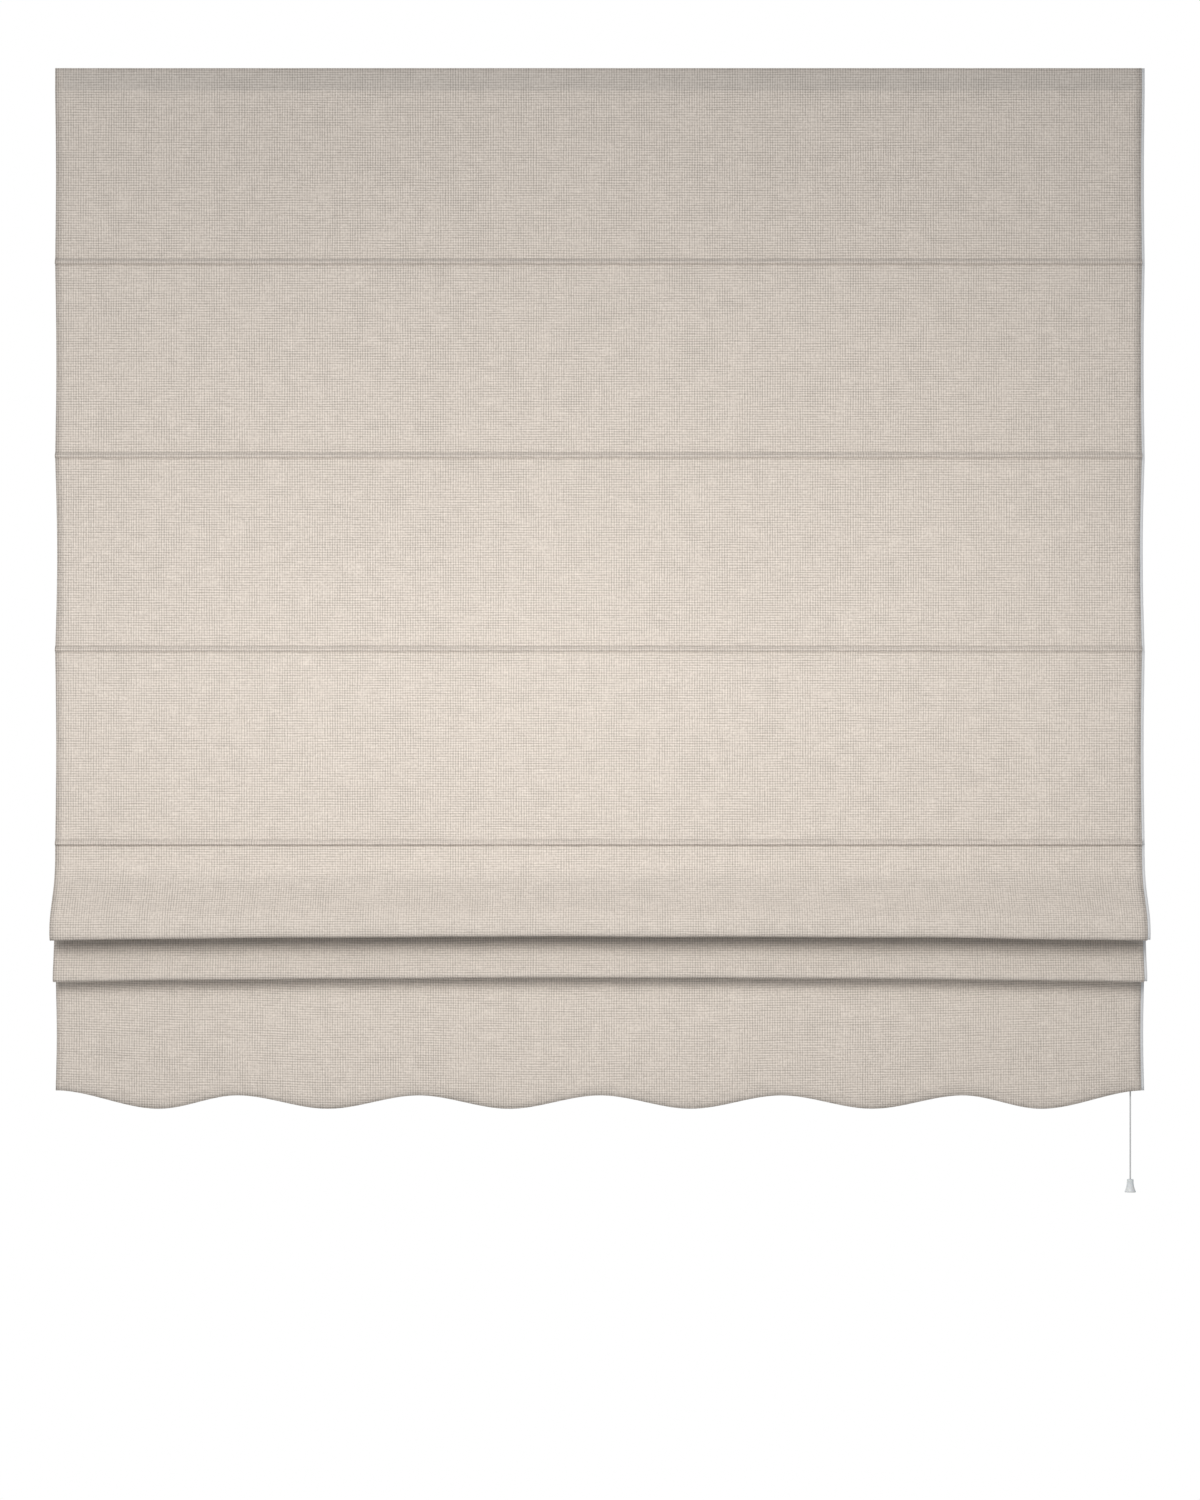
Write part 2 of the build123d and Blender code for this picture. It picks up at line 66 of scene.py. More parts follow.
half_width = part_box("upper_fabric")[1][0]
cloth_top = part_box("upper_fabric")[1][2]
cloth_thick = 0.6 * MM
layer_pitch = cloth_thick + 0.02 * MM  # from one layer's mid-plane to the next one's
cloth_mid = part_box("loop_tape")[0][1] - cloth_thick / 2
flap_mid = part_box("lower_fabric")[1][1] - cloth_thick / 2
rods = [middle(f"rod_{i}") for i in range(1, 6)]
tuck_drops = [(cloth_top - c.z) / MM + 2.0 for c in rods]
last_tuck, stack_tuck = tuck_drops[3], tuck_drops[4]
flap_low = (cloth_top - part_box("lower_fabric")[0][2]) / MM
edge_highlight_show = 3.6 * MM  # how far the pale strip looks out past the linen on the right; its pale cool colour is painted highlight of light grazing the turned edge
hem_width = 8 * MM
tuck_radius = 1.7 * MM
lift_cord_radius = 0.6 * MM
pull_cord_radius = 0.9 * MM
cord_wrap = 4.9 * MM  # from a roller's axis to the middle of the cord on it
floor_z = -2.25


# ---- Nodes and colours ----
MATH = "ShaderNodeMath"


def linear(hex_colour):
    """An sRGB hex colour as linear RGBA."""
    parts = [int(hex_colour[i:i + 2], 16) / 255 for i in (1, 3, 5)]
    return [c / 12.92 if c <= 0.04045 else ((c + 0.055) / 1.055) ** 2.4 for c in parts] + [1.0]


def add(tree, kind, inputs, **settings):
    """Adds a node. Inputs fill its sockets with a value, a socket or a node's first output."""
    made = tree.nodes.new(kind)
    for key, setting in settings.items():
        setattr(made, key, setting)
    for key, given in inputs.items():
        if isinstance(given, bpy.types.Node):
            given = given.outputs[0]
        if isinstance(given, bpy.types.NodeSocket):
            tree.links.new(given, made.inputs[key])
        else:
            made.inputs[key].default_value = given
    return made


def start_material(name, **sockets):
    """A material with one Principled shader whose sockets are set by name."""
    material = bpy.data.materials.new(name)
    material.use_nodes = True
    shader = material.node_tree.nodes["Principled BSDF"]
    for key, setting in sockets.items():
        shader.inputs[key.replace("_", " ")].default_value = setting
    return material, material.node_tree, shader


def finish_material(tree, shader, amount, dark, light, height, depth):
    """Colours the shader between two hex colours and raises its surface."""
    ramp = add(tree, "ShaderNodeValToRGB", {"Fac": amount})
    ramp.color_ramp.elements[0].color = linear(dark)
    ramp.color_ramp.elements[1].color = linear(light)
    tree.links.new(ramp.outputs["Color"], shader.inputs["Base Color"])
    bump = add(tree, "ShaderNodeBump", {"Strength": 1.0, "Distance": depth, "Height": height})
    tree.links.new(bump.outputs["Normal"], shader.inputs["Normal"])
    return ramp


def woven_cloth(name, dark, light, pitch, share_of_light, contrast):
    """Plain-woven cloth: matt, with round thread backs that cross, slubs and loose fibres. It
    gives the eye patches of level lines where the weft lies on top, others of upright lines where
    the warp does, a check where they cross, and a little light through the cloth."""
    material, tree, shader = start_material(
        name, Roughness=0.93, Specular_IOR_Level=0.2, Sheen_Weight=0.1, Sheen_Roughness=0.6)
    fine_share = 0.7  # strength of the real threads beside that of the coarse lines
    wave_mean = 0.64  # mean of a sine without its sign, taken off so patches keep one mean tone
    place = add(tree, "ShaderNodeAttribute", {}, attribute_name="weave")
    across, along, _ = add(tree, "ShaderNodeSeparateXYZ", {0: place.outputs["Vector"]}).outputs

    def blotches(across_size, along_size, detail, layer):
        """Noise whose blotches have these sizes in metres, across and along the cloth."""
        stretched = add(tree, "ShaderNodeVectorMath", {
            0: place.outputs["Vector"], 1: (1 / across_size, 1 / along_size, 0), 2: (0, 0, layer)},
            operation="MULTIPLY_ADD")
        return add(tree, "ShaderNodeTexNoise", {"Vector": stretched, "Scale": 1.0, "Detail": detail})

    def thread_backs(position, wander, patches):
        """Round thread backs, strong in some patches and faint in others: the coarse lines that
        show from across a room, and the real threads, a third of their pitch, between them."""
        centred = -wave_mean * (1 + fine_share)
        for share, spacing in ((1.0, pitch), (fine_share, pitch / 3)):
            bent = add(tree, MATH, {0: wander, 1: 2.2 * pitch / spacing}, operation="MULTIPLY")
            phase = add(tree, MATH, {0: position, 1: math.pi / spacing, 2: bent},
                        operation="MULTIPLY_ADD")
            wave = add(tree, MATH, {0: phase}, operation="SINE")
            back = add(tree, MATH, {0: wave}, operation="ABSOLUTE")
            centred = add(tree, MATH, {0: back, 1: share, 2: centred}, operation="MULTIPLY_ADD")
        strength = add(tree, "ShaderNodeMapRange", {
            "Value": patches, "From Min": 0.38, "From Max": 0.62, "To Min": 0.3, "To Max": 1.0})
        return add(tree, MATH, {0: centred, 1: strength}, operation="MULTIPLY")

    weft = thread_backs(along, blotches(0.07, 0.014, 2, 1), blotches(0.045, 0.014, 2, 2))
    warp = thread_backs(across, blotches(0.014, 0.07, 2, 3), blotches(0.014, 0.045, 2, 4))
    weave = add(tree, MATH, {0: weft, 1: warp}, operation="ADD")
    total = add(tree, MATH, {0: weave, 1: 0.46 * contrast, 2: 0.5}, operation="MULTIPLY_ADD")
    # Each row: strength, size across and along in metres, and the noise's detail.
    rows = [
        (0.26, 0.020, 0.0024, 2),  # slubs in the weft: short thick lengths of yarn
        (0.16, 0.0024, 0.020, 2),  # slubs in the warp
        (0.40, 0.0030, 0.0030, 1),  # flecks of loose fibre
        (0.04, 0.24, 0.20, 2),  # the faint change of tone over the cloth
    ]
    for layer, (strong, across_size, along_size, detail) in enumerate(rows):
        spread = add(tree, MATH, {0: blotches(across_size, along_size, detail, 5 + layer), 1: 0.5},
                     operation="SUBTRACT")
        total = add(tree, MATH, {0: spread, 1: strong * contrast, 2: total}, operation="MULTIPLY_ADD")
    ramp = finish_material(tree, shader, total, dark, light, total, 0.28 * MM)
    through = add(tree, "ShaderNodeBsdfTranslucent", {"Color": ramp.outputs["Color"]})
    mixed = add(tree, "ShaderNodeMixShader", {0: share_of_light, 1: shader, 2: through})
    tree.links.new(mixed.outputs[0], tree.nodes["Material Output"].inputs["Surface"])
    return material


def grained(name, dark, light, sizes, depth, contrast=1.0, **sockets):
    """A material whose tone and surface follow a grain with these sizes in metres along X, Y, Z."""
    material, tree, shader = start_material(name, **sockets)
    place = add(tree, "ShaderNodeTexCoord", {})
    total = None
    for layer, shrink in enumerate((1.0, 4.7)):
        stretched = add(tree, "ShaderNodeVectorMath", {
            0: place.outputs["Object"], 1: tuple(shrink / size for size in sizes), 2: (layer, 2, 3)},
            operation="MULTIPLY_ADD")
        grain = add(tree, "ShaderNodeTexNoise", {"Vector": stretched, "Scale": 1.0, "Detail": 3.0})
        spread = add(tree, MATH, {0: grain, 1: 0.5}, operation="SUBTRACT")
        total = add(tree, MATH, {0: spread, 1: contrast, 2: total or 0.5}, operation="MULTIPLY_ADD")
    finish_material(tree, shader, total, dark, light, total, depth)
    roughness = shader.inputs["Roughness"].default_value
    rough = add(tree, "ShaderNodeMapRange", {
        "Value": total, "To Min": max(roughness - 0.08, 0.03), "To Max": min(roughness + 0.08, 1.0)})
    tree.links.new(rough.outputs[0], shader.inputs["Roughness"])
    return material


def braided(name, dark, light, pitch):
    """Braided polyester cord: strands that wind both ways round it, so it looks plaited."""
    material, tree, shader = start_material(name, Roughness=0.62, Sheen_Weight=0.08)
    place = add(tree, "ShaderNodeTexCoord", {})
    x, y, z = add(tree, "ShaderNodeSeparateXYZ", {0: place.outputs["Object"]}).outputs
    side = add(tree, MATH, {0: x, 1: y}, operation="ADD")
    strands = []
    for turn in (-1.0, 1.0):
        slope = add(tree, MATH, {0: side, 1: turn, 2: z}, operation="MULTIPLY_ADD")
        wave = add(tree, MATH, {0: slope, 1: 2 * math.pi / pitch}, operation="MULTIPLY")
        strands.append(add(tree, MATH, {0: wave}, operation="SINE"))
    over = add(tree, MATH, {0: strands[0], 1: strands[1]}, operation="MAXIMUM")
    amount = add(tree, MATH, {0: over, 1: 0.45, 2: 0.45}, operation="MULTIPLY_ADD")
    finish_material(tree, shader, amount, dark, light, amount, 0.12 * MM)
    return material


# Linen: threads of uneven yarn, so the weave comes and goes. The real threads lie about 0.9 mm
# apart; the coarse lines are drawn at 3 mm, or they would not show from across a room.
linen = woven_cloth("woven_linen", "#BDB5AD", "#F8F1EA", 3.0 * MM, 0.30, 1.8)
# A pale cool strip behind the right side, smoother than the linen. It stands for the blind's turned right
# edge, and its pale cool colour is painted highlight of cool light grazing that edge. Drawn at 2 mm, real
# 0.6 mm.
painted_edge_highlight = woven_cloth("woven_strip_painted_edge_highlight", "#D3D7DC", "#F6F8FA", 2.0 * MM, 0.15, 0.6)
# Sewing thread: plies twisted together, which show as fine slanting stripes.
sewing_thread = braided("twisted_sewing_thread", "#B7AEA4", "#E2DBD3", 0.9 * MM)
# Cord: smooth strands braided round a core, so small dark gaps wind both ways.
cord_braid = braided("braided_polyester_cord", "#8F9295", "#D4D6D8", 1.1 * MM)
# Powder coat: an even white with the faint orange peel of melted powder, about 2 mm across.
coated_aluminium = grained("powder_coated_aluminium", "#E3E3E1", "#F3F3F1", (2e-3, 2e-3, 2e-3),
                           0.02 * MM, 0.6, Roughness=0.38)
# Zinc plate: grey-blue metal with soft cloudy patches and fine rolling lines along the strip.
zinc_steel = grained("zinc_plated_steel", "#A9ADB2", "#D2D5D8", (9e-3, 1.2e-3, 9e-3),
                     0.01 * MM, 0.9, Roughness=0.34, Metallic=1.0)
# Drawn wire: bright steel with fine lines along the pin, left by the die.
drawn_steel = grained("drawn_steel_wire", "#A6A8AB", "#D9DADC", (0.4e-3, 6e-3, 0.4e-3),
                      0.006 * MM, 0.8, Roughness=0.26, Metallic=1.0)
# Extruded aluminium: long pale lines along the bar from the die.
extruded_aluminium = grained("extruded_aluminium", "#B9BBBD", "#DEDFE0", (60e-3, 0.6e-3, 0.6e-3),
                             0.012 * MM, 0.9, Roughness=0.36, Metallic=1.0)
# Moulded acetal: white, waxy, with a fine sparked texture from the mould, about 0.8 mm.
acetal_grain = (0.8e-3, 0.8e-3, 0.8e-3)
white_acetal = grained("moulded_acetal", "#E9EAE9", "#F7F8F7", acetal_grain,
                       0.015 * MM, 0.7, Roughness=0.42, Subsurface_Weight=0.08)
# The bell is moulded in a greyer white, and handling has polished it a little.
bell_acetal = grained("moulded_grey_white_acetal", "#C6CACD", "#DDE0E2", acetal_grain,
                      0.015 * MM, 0.7, Roughness=0.38, Subsurface_Weight=0.05)
# Moulded nylon: half clear, with faint flow marks about 1.5 mm across.
clear_nylon = grained("moulded_nylon", "#DADDDC", "#F1F3F2", (1.5e-3, 1.5e-3, 1.5e-3),
                      0.01 * MM, 0.6, Roughness=0.3, Transmission_Weight=0.35)
# Pultruded glass fibre: cream resin with long straight fibres.
glass_fibre = grained("pultruded_glass_fibre", "#D8D2BF", "#F1EEE2", (45e-3, 0.5e-3, 0.5e-3),
                      0.02 * MM, 1.0, Roughness=0.4)
# Hook-and-loop tape: a nap of loops drawn at about 1 mm, coarser than the real 0.4 mm.
napped_tape = grained("napped_nylon_tape", "#D6D6D4", "#F6F6F4", (1e-3, 1e-3, 1e-3),
                      0.3 * MM, 1.5, Roughness=0.9, Sheen_Weight=0.2)

# A carried-over node takes the finish under the longest start of its name; the cloth takes linen.
finish_of = {
    "hook_tape": napped_tape, "loop_tape": napped_tape, "headrail": coated_aluminium,
    "end_cap": white_acetal, "bracket": zinc_steel, "cam": zinc_steel, "rod": glass_fibre,
    "ring": clear_nylon, "guide_cradle": white_acetal, "guide_roller": white_acetal,
    "guide_pin": drawn_steel, "lock_body": white_acetal, "lock_roller": white_acetal,
    "lock_roller_pin": drawn_steel, "lock_pawl": white_acetal, "lock_pawl_pin": drawn_steel,
    "bottom_bar": extruded_aluminium, "cord_orbs": white_acetal, "joiner": white_acetal,
    "cord_bell": bell_acetal, "bell_knot": cord_braid,
}
for node_name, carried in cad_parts.items():
    start = max((key for key in finish_of if node_name.startswith(key)), key=len, default=None)
    for slot in carried.material_slots:
        slot.material = finish_of[start] if start else linen


# ---- Meshes ----
# Places in a piece's list of materials: what it is mostly made of, its sewing thread, and the pale strip
# painted with an edge highlight.
main_number, thread_number, edge_highlight_number = 0, 1, 2


def make_piece(name, body, shells, materials):
    """Joins shells (points, faces, material number, weave places) into one piece on a body."""
    points, faces, numbers, places = [], [], [], []
    for shell_points, shell_faces, number, shell_places in shells:
        faces += [[i + len(points) for i in face] for face in shell_faces]
        points += [tuple(map(float, p)) for p in shell_points]
        numbers += [number] * len(shell_faces)
        places += [tuple(map(float, p)) for p in shell_places]
    mesh = bpy.data.meshes.new(name)
    mesh.from_pydata(points, [], faces)
    for material in materials:
        mesh.materials.append(material)
    mesh.polygons.foreach_set("material_index", numbers)
    mesh.polygons.foreach_set("use_smooth", [True] * len(faces))
    weave = mesh.attributes.new("weave", "FLOAT_VECTOR", "POINT")
    weave.data.foreach_set("vector", np.array(places, dtype=float).ravel())
    mesh.update()
    piece = bpy.data.objects.new(name, mesh)
    bpy.context.scene.collection.objects.link(piece)
    if body:
        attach(piece, body)
    return piece


def smooth_line(corners, step):
    """A smooth line through (y, z) points, cut into steps of about this length in metres."""
    corners = np.array(corners, dtype=float)
    gaps = np.linalg.norm(np.diff(corners, axis=0), axis=1)
    slopes = np.diff(corners, axis=0) / gaps[:, None]
    turns = [slopes[0]]
    for i in range(1, len(gaps)):
        turns.append((slopes[i - 1] * gaps[i] + slopes[i] * gaps[i - 1]) / (gaps[i - 1] + gaps[i]))
    turns.append(slopes[-1])
    line = [corners[0]]
    for i, gap in enumerate(gaps):
        count = max(2, math.ceil(gap / step))
        for t in np.arange(1, count + 1) / count:
            line.append((2 * t**3 - 3 * t**2 + 1) * corners[i] + (t**3 - 2 * t**2 + t) * gap * turns[i]
                        + (3 * t**2 - 2 * t**3) * corners[i + 1] + (t**3 - t**2) * gap * turns[i + 1])
    return np.array(line)


def spread(line, columns, shape):
    """Carries a (y, z) line across the columns: three arrays X, Y, Z, moved by shape."""
    x = np.tile(np.array(columns, dtype=float), (len(line), 1))
    y = np.tile(line[:, :1], (1, len(columns)))
    z = np.tile(line[:, 1:], (1, len(columns)))
    return shape(x, y, z) if shape else (x, y, z)


def surface(grid, outward=0.0):
    """Points of a grid moved out towards the room along its own normal."""
    points = np.stack(grid, axis=-1)
    down = np.gradient(points, axis=0)
    right = np.gradient(points, axis=1)
    normal = np.cross(down, right)
    normal /= np.linalg.norm(normal, axis=-1, keepdims=True)
    return points + outward * normal


def cloth_shell(grid, outward=0.0, number=main_number, place_shift=0.0):
    """A closed layer of cloth whose mid-surface is the grid, moved outward. Its weave starts at
    place_shift metres along the cloth."""
    front = surface(grid, outward + cloth_thick / 2)
    back = surface(grid, outward - cloth_thick / 2)
    rows, columns = front.shape[:2]
    steps = np.linalg.norm(np.diff(np.stack(grid, axis=-1), axis=0), axis=-1)
    along = np.vstack([np.zeros((1, columns)), np.cumsum(steps, axis=0)]) + place_shift
    place = np.stack([grid[0], along, np.zeros_like(along)], axis=-1).reshape(-1, 3)
    index = np.arange(rows * columns).reshape(rows, columns)
    other = index + rows * columns
    faces = []
    for side, flip in ((index, False), (other, True)):
        quads = np.stack([side[:-1, :-1], side[1:, :-1], side[1:, 1:], side[:-1, 1:]], axis=-1)
        quads = quads.reshape(-1, 4)
        faces.append(quads[:, ::-1] if flip else quads)
    step = rows * columns
    for rim in (index[:, 0], index[-1, :], index[::-1, -1], index[0, ::-1]):
        faces.append(np.stack([rim[1:], rim[:-1], rim[:-1] + step, rim[1:] + step], axis=-1))
    return (np.vstack([front.reshape(-1, 3), back.reshape(-1, 3)]), np.vstack(faces).tolist(), number,
            np.vstack([place, place]))


def stitches(points, outward, pitch=3.6 * MM, length=2.5 * MM, thread=0.28 * MM):
    """A row of lock stitches along points on the cloth, each a short bead of thread."""
    points = np.array(points)
    gaps = np.r_[0, np.cumsum(np.linalg.norm(np.diff(points, axis=0), axis=1))]
    centres = np.arange(pitch / 2, gaps[-1], pitch)
    outward = np.array(outward, dtype=float)
    beads, faces = [], []
    for centre in centres:
        ends = [np.array([np.interp(s, gaps, points[:, k]) for k in range(3)])
                for s in (centre - length / 2, centre + length / 2)]
        along = (ends[1] - ends[0]) / length
        side = np.cross(along, outward)
        mid = (ends[0] + ends[1]) / 2
        first = len(beads)
        beads += [ends[0], mid + outward * thread, mid + side * thread, mid - outward * thread * 0.4,
                  mid - side * thread, ends[1]]
        for a, b in ((1, 2), (2, 3), (3, 4), (4, 1)):
            faces += [[first, first + b, first + a], [first + 5, first + a, first + b]]
    return np.array(beads), faces, thread_number, np.array(beads)


def tube(points, radius, sides=10):
    """A round tube along points that lie in a plane of constant y."""
    points = np.array([tuple(p) for p in points], dtype=float)
    along = np.gradient(points, axis=0)
    along /= np.linalg.norm(along, axis=1, keepdims=True)
    out = np.array([0.0, 1.0, 0.0])
    side = np.cross(along, out)
    rings = [points + radius * (math.cos(a) * out + math.sin(a) * side)
             for a in np.arange(sides) * 2 * math.pi / sides]
    verts = np.stack(rings, axis=1).reshape(-1, 3)
    faces = []
    for i in range(len(points) - 1):
        for j in range(sides):
            k = (j + 1) % sides
            faces.append([i * sides + j, (i + 1) * sides + j, (i + 1) * sides + k, i * sides + k])
    faces.append(list(range(sides)))
    faces.append([len(verts) - sides + j for j in reversed(range(sides))])
    return verts, faces, main_number, verts


def ring_loop(centre, ring_radius, wire, sides=18, wire_sides=8):
    """A small closed loop of thread round the X direction."""
    points, faces = [], []
    for i in range(sides):
        turn = 2 * math.pi * i / sides
        for j in range(wire_sides):
            around = 2 * math.pi * j / wire_sides
            reach = ring_radius + wire * math.cos(around)
            points.append(centre + Vector((
                wire * math.sin(around), reach * math.cos(turn), reach * math.sin(turn))))
    for i in range(sides):
        for j in range(wire_sides):
            a, b = i * wire_sides, ((i + 1) % sides) * wire_sides
            k = (j + 1) % wire_sides
            faces.append([a + j, a + k, b + k, b + j])
    return [tuple(p) for p in points], faces, thread_number, [tuple(p) for p in points]


# ---- The cloth's slow shape ----
def to_line(points, step):
    """A smooth line through (reach, drop) points."""
    return smooth_line([(cloth_mid - reach * MM, cloth_top - drop * MM) for reach, drop in points], step)


def swell(x, z, size, layer):
    """Slow ripples of a hanging cloth, from -1 to 1 and the same on each run."""
    flat = [noise.noise(Vector((a / size, b / size, layer))) for a, b in zip(x.ravel(), z.ravel())]
    return np.array(flat).reshape(x.shape) * 1.6


def columns_between(left, right, step):
    """Even column places from left to right, no more than a step apart."""
    return list(np.linspace(left, right, max(1, math.ceil((right - left) / step)) + 1))


def hang(x, y, z):
    """Between tucks the cloth ripples and draws in a little at its sides; at a tuck it is straight."""
    drop = (cloth_top - z) / MM
    edges = [30.0] + tuck_drops[:4]
    loose = np.zeros_like(drop)
    draw_in = np.zeros_like(drop)
    for low, high, amount in zip(edges[:-1], edges[1:], (1.0, 1.4, 2.4, 1.3)):
        inside = np.clip((drop - low) / (high - low), 0, 1)
        loose += np.sin(math.pi * inside) ** 1.3
        draw_in += amount * MM * np.sin(math.pi * inside)
    side = x / half_width
    x = x - draw_in * side * np.abs(side) ** 5
    y = y - loose * (0.9 * MM * swell(x, z, 0.24, 3.0) + 0.4 * MM)
    return x, y, z


linen_left, linen_right = -half_width, half_width - edge_highlight_show
edge_highlight_width = 11 * MM


def side_strips(line, shape):
    """Behind a cloth's sides: the turned hem, the pale strip on the right whose colour is painted edge
    highlight, and their stitches.
    """
    shells = []
    for left, right, number, behind in (
        (linen_left, linen_left + hem_width, main_number, 1.0),
        (linen_right - hem_width, linen_right - 0.4 * MM, main_number, 1.0),
        # the pale strip on the right: its pale cool colour is painted highlight of light grazing the edge
        (half_width - edge_highlight_width, half_width, edge_highlight_number, 2.0),
    ):
        grid = spread(line, columns_between(left, right, 4 * MM), shape)
        shells.append(cloth_shell(grid, -behind * layer_pitch, number=number))
    for x in (linen_left + hem_width - 1 * MM, linen_right - hem_width + 1.5 * MM):
        grid = spread(line, [x - 0.5 * MM, x, x + 0.5 * MM], shape)
        shells.append(stitches(surface(grid, cloth_thick / 2)[:, 1], (0, -1, 0)))
    return shells


# A tuck's section from its rod's centre, in millimetres forward and up: it leaves the cloth in
# a gentle slope, goes round the rod and turns back under it.
tuck_section = [(-1.6, 4.6), (-1.1, 3.5), (-0.2, 2.45), (0.8, 1.6), (1.45, 0.9), (1.7, 0.0),
                (1.3, -1.15), (0.3, -1.7), (-0.7, -1.6), (-1.6, -1.1)]
seam_above_rod = 5.2 * MM


def tuck_shells(centre, columns, on_cloth=True):
    """A rod tuck. On hanging cloth its loop leans on the cloth behind it, with a row of stitches
    above; off it, the loop is a ring of its own round the rod."""
    if on_cloth:
        section = [(centre.y - out * MM, centre.z + up * MM) for out, up in tuck_section]
        line = smooth_line(section, 0.5 * MM)
        front = centre.y + tuck_radius + 0.1 * MM - cloth_thick / 2
        seam = [(x, front, centre.z + seam_above_rod) for x in (columns[0] + 3 * MM, columns[-1] - 3 * MM)]
        sewn = [stitches(seam, (0, -1, 0), thread=0.2 * MM)]
    else:
        turns = np.radians(np.linspace(0, 360, 28))
        line = np.stack([centre.y + tuck_radius * np.cos(turns), centre.z + tuck_radius * np.sin(turns)],
                        axis=1)
        sewn = []
    return [cloth_shell(spread(line, columns, None), place_shift=0.4)] + sewn


# the third material is the pale strip's painted edge highlight
cloth_materials = [linen, sewing_thread, painted_edge_highlight]
columns = columns_between(linen_left, linen_right, 9 * MM)


# ---- Upper cloth: the four hanging panels ----
def upper_cloth():
    """From the top edge to the last tuck, with four rod tucks."""
    drops = [0.0]
    for drop in tuck_drops[:4]:
        drops += list(np.linspace(drops[-1], drop, 27)[1:])
    line = np.array([(cloth_mid, cloth_top - drop * MM) for drop in drops])
    shells = [cloth_shell(spread(line, columns, hang))] + side_strips(line, hang)
    # The top edge is turned over once behind, above the loop tape.
    top = np.array([(cloth_mid, cloth_top - drop * MM) for drop in (0, 2, 4)])
    shells.append(cloth_shell(spread(top, columns, None), -layer_pitch))
    for centre in rods[:4]:
        shells += tuck_shells(centre, columns)
    return make_piece("upper_cloth", "root", shells, cloth_materials)


# ---- Upper fold: a front layer down to its lowest line, and a back layer up to the fifth tuck ----
upper_front = [
    (0, last_tuck), (0.2, last_tuck + 12), (1.6, last_tuck + 25), (5.4, last_tuck + 37),
    (12.0, last_tuck + 49), (22.0, last_tuck + 61), (32.6, last_tuck + 73), (41.2, last_tuck + 84),
    (45.2, last_tuck + 94), (46.1, last_tuck + 104), (45.3, last_tuck + 109), (42.2, last_tuck + 111.5),
    (37.5, last_tuck + 110.8), (30, last_tuck + 107.5), (22, last_tuck + 102),
]
upper_back = [(22, last_tuck + 102), (10.5, last_tuck + 90), (3.2, last_tuck + 66), (0, last_tuck + 50),
              (-0.5, last_tuck + 36)]
fold_join = last_tuck + 102  # drop where the two layers' pieces meet
middle_rise = 5.0 * MM  # how much higher a fold's lowest line hangs mid-width than at its sides


def fold_ripple(x, y, z):
    """The fold's lowest line hangs a little higher in the middle, and its face ripples."""
    drop = (cloth_top - z) / MM
    depth = np.clip((drop - last_tuck - 20) / 90, 0, 1)
    reach = np.clip((cloth_mid - y) / MM / 46, 0, 1)
    lower = depth**2 * np.clip((reach - 0.48) / 0.35, 0, 1)
    side = x / half_width
    z = z + lower * middle_rise * (1 - side**2) + lower * 0.9 * MM * swell(x, np.zeros_like(x), 0.16, 7.0)
    y = y - lower * 1.3 * MM * swell(x, z, 0.20, 11.0)
    return x, y, z


def whole_line(points, more, step):
    """One smooth line through both parts, cut where they meet."""
    line = to_line(points + more[1:], step)
    target = np.array([cloth_mid - points[-1][0] * MM, cloth_top - points[-1][1] * MM])
    cut = int(np.argmin(np.linalg.norm(line - target, axis=1)))
    return line[:cut + 1], line[cut:]


def upper_fold():
    """The gathered fold under the last tuck, in two pieces that meet behind its lowest line."""
    front_line, back_line = whole_line(upper_front, upper_back, 4 * MM)
    made = []
    for name, line, near, far in (
        ("upper_fold_front", front_line, last_tuck, 2 * fold_join - last_tuck),
        ("upper_fold_back", back_line, 2 * fold_join - stack_tuck, stack_tuck),
    ):
        shells = [cloth_shell(spread(line, columns, fold_ripple))] + side_strips(line, fold_ripple)
        piece = make_piece(name, None, shells, cloth_materials)
        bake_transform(piece)
        made.append(piece)
    return made


# ---- Lower cloth: fifth tuck, lower fold, bar tunnel and scalloped flap ----
# The tunnel holds the bottom bar. The flap hangs free from where the lower fold ends.
tunnel_top = (cloth_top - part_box("bottom_bar")[1][2]) / MM - 0.5
tunnel_front = (cloth_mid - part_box("bottom_bar")[0][1]) / MM + 0.5
flap_reach = (cloth_mid - flap_mid) / MM
lower_fold_low = last_tuck + 162
corner_drop, crest_drop, low_drop = flap_low - 22, flap_low - 16, flap_low
scallop_start = crest_drop - 20
scallops = 6
lower_line_points = [
    ((cloth_mid - rods[4].y) / MM, stack_tuck - 0.3), (-1.6, stack_tuck + 14), (1.0, stack_tuck + 30),
    (5.0, stack_tuck + 58), (9.6, stack_tuck + 80), (15.0, stack_tuck + 100), (19.2, stack_tuck + 113),
    (20.3, stack_tuck + 119), (19.4, stack_tuck + 122.6), (16.6, stack_tuck + 124),
    (12.2, stack_tuck + 121), (6.5, stack_tuck + 100), (1.0, stack_tuck + 70),
    (tunnel_front, stack_tuck + 44), (tunnel_front, tunnel_top + 3), (tunnel_front - 0.7, tunnel_top),
    (flap_reach + 0.7, tunnel_top), (flap_reach, tunnel_top + 3), (flap_reach, tunnel_top + 40),
    (flap_reach, lower_fold_low), (flap_reach, scallop_start),
]


